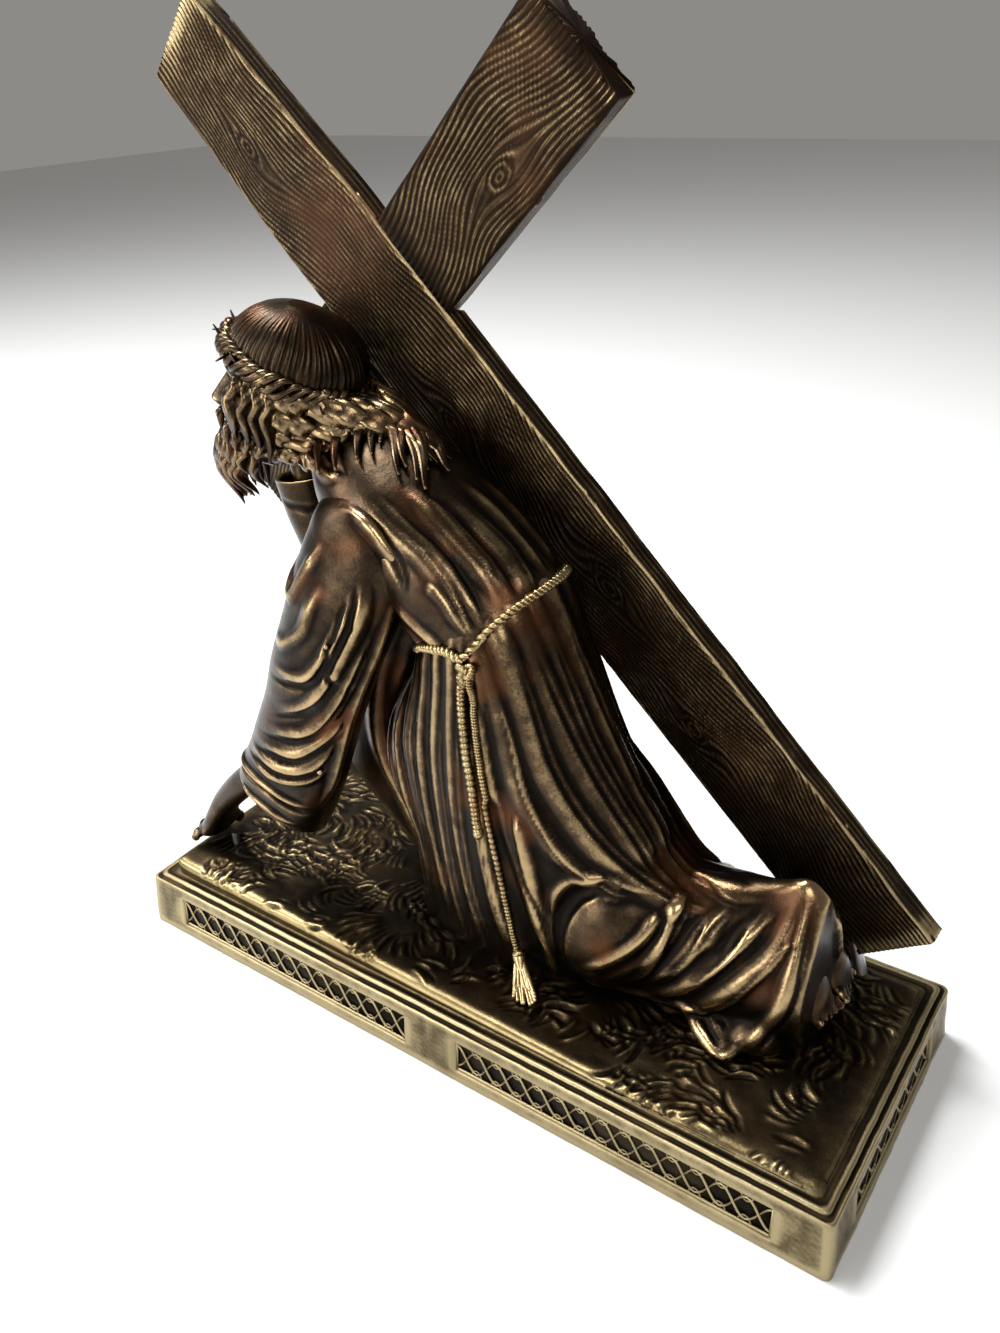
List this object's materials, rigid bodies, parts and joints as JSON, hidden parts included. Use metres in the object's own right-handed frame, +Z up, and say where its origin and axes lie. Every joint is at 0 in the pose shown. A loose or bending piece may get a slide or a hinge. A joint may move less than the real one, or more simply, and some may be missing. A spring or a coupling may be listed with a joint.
{
  "type": "tabletop statuette",
  "caption": "Bronze-finished tabletop statuette of a robed, bearded man fallen to his knees under a timber cross, on a plinth with sunk lattice panels.",
  "frame": {"origin": "middle of the plinth's underside, on the surface it stands on", "axes": "+X along the plinth to the foot of the cross, -Y towards the side the figure shows, +Z up"},
  "size_m": [0.1731, 0.064, 0.1898],
  "materials": {
    "figure_bronze": "dark brown patina over cast bronze, rubbed back to yellow metal on the folds, semi-gloss",
    "worn_bronze": "rope work rubbed bright on its high points",
    "ground_bronze": "chased grass marks with dark wash, lightly rubbed",
    "timber_bronze": "carved wood grain cast in bronze, dark brown patina, brass highlights on the ridges",
    "fascia_bronze": "dull yellow metal with a dark wash in the recesses",
    "steel_fixings": "plain turned steel",
    "plate_steel": "rolled plate",
    "felt": "dark green wool felt"
  },
  "bodies": {
    "root": {"back_left_lattice": "fascia_bronze", "back_right_lattice": "fascia_bronze", "base_plate_screws": "steel_fixings", "beard": "figure_bronze", "bottom_plate": "plate_steel", "cross_arm": "timber_bronze", "cross_foot_dowel": "steel_fixings", "cross_upright": "timber_bronze", "crown_of_thorns": "figure_bronze", "far_leg_drapery": "figure_bronze", "felt_pad": "felt", "figure_nut": "steel_fixings", "figure_stud": "steel_fixings", "figure_washer": "steel_fixings", "front_fold": "figure_bronze", "front_left_lattice": "fascia_bronze", "front_right_lattice": "fascia_bronze", "ground_mound": "ground_bronze", "hair": "figure_bronze", "head": "figure_bronze", "lap_dowel": "timber_bronze", "left_end_lattice": "fascia_bronze", "left_foot": "figure_bronze", "left_hand": "figure_bronze", "left_hand_dowel": "steel_fixings", "left_shoulder_dowel": "steel_fixings", "left_sleeve": "figure_bronze", "long_rope_tail": "worn_bronze", "lower_robe": "figure_bronze", "mound_screws": "steel_fixings", "near_leg_drapery": "figure_bronze", "neck_dowel": "steel_fixings", "plinth": "fascia_bronze", "right_end_lattice": "fascia_bronze", "right_foot": "figure_bronze", "right_hand": "figure_bronze", "right_shoulder_dowel": "steel_fixings", "right_sleeve": "figure_bronze", "rope_knot": "worn_bronze", "rope_tassel": "worn_bronze", "short_rope_tail": "worn_bronze", "upper_robe": "figure_bronze", "waist_dowel": "steel_fixings", "waist_rope": "worn_bronze"}
  },
  "joints": []
}
